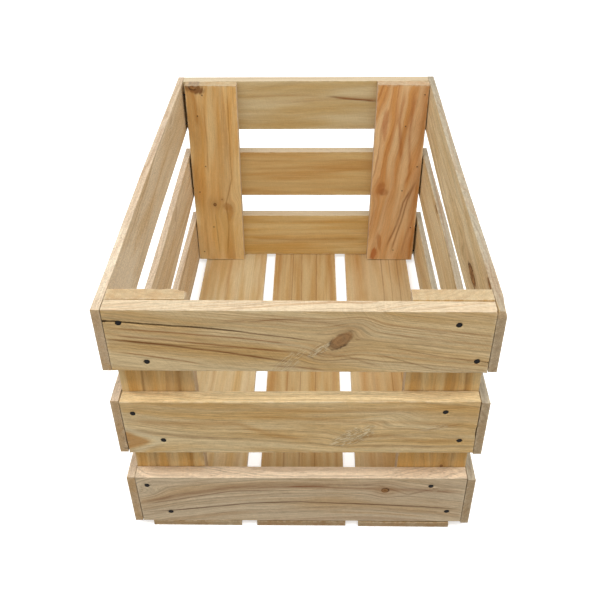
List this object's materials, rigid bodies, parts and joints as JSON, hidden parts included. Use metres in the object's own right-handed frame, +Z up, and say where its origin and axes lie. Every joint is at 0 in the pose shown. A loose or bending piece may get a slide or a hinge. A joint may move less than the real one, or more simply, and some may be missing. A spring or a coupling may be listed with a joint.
{
  "type": "wooden apple crate",
  "caption": "Open-topped rectangular crate of nailed pine slats round flat corner posts on lengthwise floor boards, for carrying and storing apples.",
  "frame": {"origin": "middle of the underside, on the surface that the crate stands on", "axes": "+Z up, +Y along the length from the front end to the back end, +X across the width to the crate's right as seen facing the front end"},
  "size_m": [0.357, 0.524, 0.291],
  "materials": {
    "end_slat_pine": "sawn pine, dry and unfinished, tan with brown growth-ring lines",
    "side_slat_pine": "thin resawn pine, pale grey-tan, rough saw marks",
    "post_pine": "planed pine, golden to orange brown, strongly figured",
    "floor_board_pine": "thin resawn pine, warm tan, straight lengthwise grain",
    "nail_steel": "dull dark steel wire nails with flat heads"
  },
  "bodies": {
    "root": {"side_slat_left_bottom": "side_slat_pine", "side_slat_left_middle": "side_slat_pine", "side_slat_left_top": "side_slat_pine", "side_slat_right_bottom": "side_slat_pine", "side_slat_right_middle": "side_slat_pine", "side_slat_right_top": "side_slat_pine", "end_slat_front_bottom": "end_slat_pine", "end_slat_front_middle": "end_slat_pine", "end_slat_front_top": "end_slat_pine", "end_slat_back_bottom": "end_slat_pine", "end_slat_back_middle": "end_slat_pine", "end_slat_back_top": "end_slat_pine", "corner_post_front_left": "post_pine", "corner_post_front_right": "post_pine", "corner_post_back_left": "post_pine", "corner_post_back_right": "post_pine", "floor_board_left": "floor_board_pine", "floor_board_middle": "floor_board_pine", "floor_board_right": "floor_board_pine", "end_nail_front_bottom_left_upper": "nail_steel", "end_nail_front_bottom_left_lower": "nail_steel", "end_nail_front_bottom_right_upper": "nail_steel", "end_nail_front_bottom_right_lower": "nail_steel", "end_nail_front_middle_left_upper": "nail_steel", "end_nail_front_middle_left_lower": "nail_steel", "end_nail_front_middle_right_upper": "nail_steel", "end_nail_front_middle_right_lower": "nail_steel", "end_nail_front_top_left_upper": "nail_steel", "end_nail_front_top_left_lower": "nail_steel", "end_nail_front_top_right_upper": "nail_steel", "end_nail_front_top_right_lower": "nail_steel", "end_nail_back_bottom_left_upper": "nail_steel", "end_nail_back_bottom_left_lower": "nail_steel", "end_nail_back_bottom_right_upper": "nail_steel", "end_nail_back_bottom_right_lower": "nail_steel", "end_nail_back_middle_left_upper": "nail_steel", "end_nail_back_middle_left_lower": "nail_steel", "end_nail_back_middle_right_upper": "nail_steel", "end_nail_back_middle_right_lower": "nail_steel", "end_nail_back_top_left_upper": "nail_steel", "end_nail_back_top_left_lower": "nail_steel", "end_nail_back_top_right_upper": "nail_steel", "end_nail_back_top_right_lower": "nail_steel", "floor_nail_front_left_left": "nail_steel", "floor_nail_front_left_right": "nail_steel", "floor_nail_front_middle_left": "nail_steel", "floor_nail_front_middle_right": "nail_steel", "floor_nail_front_right_left": "nail_steel", "floor_nail_front_right_right": "nail_steel", "floor_nail_back_left_left": "nail_steel", "floor_nail_back_left_right": "nail_steel", "floor_nail_back_middle_left": "nail_steel", "floor_nail_back_middle_right": "nail_steel", "floor_nail_back_right_left": "nail_steel", "floor_nail_back_right_right": "nail_steel"}
  },
  "joints": []
}
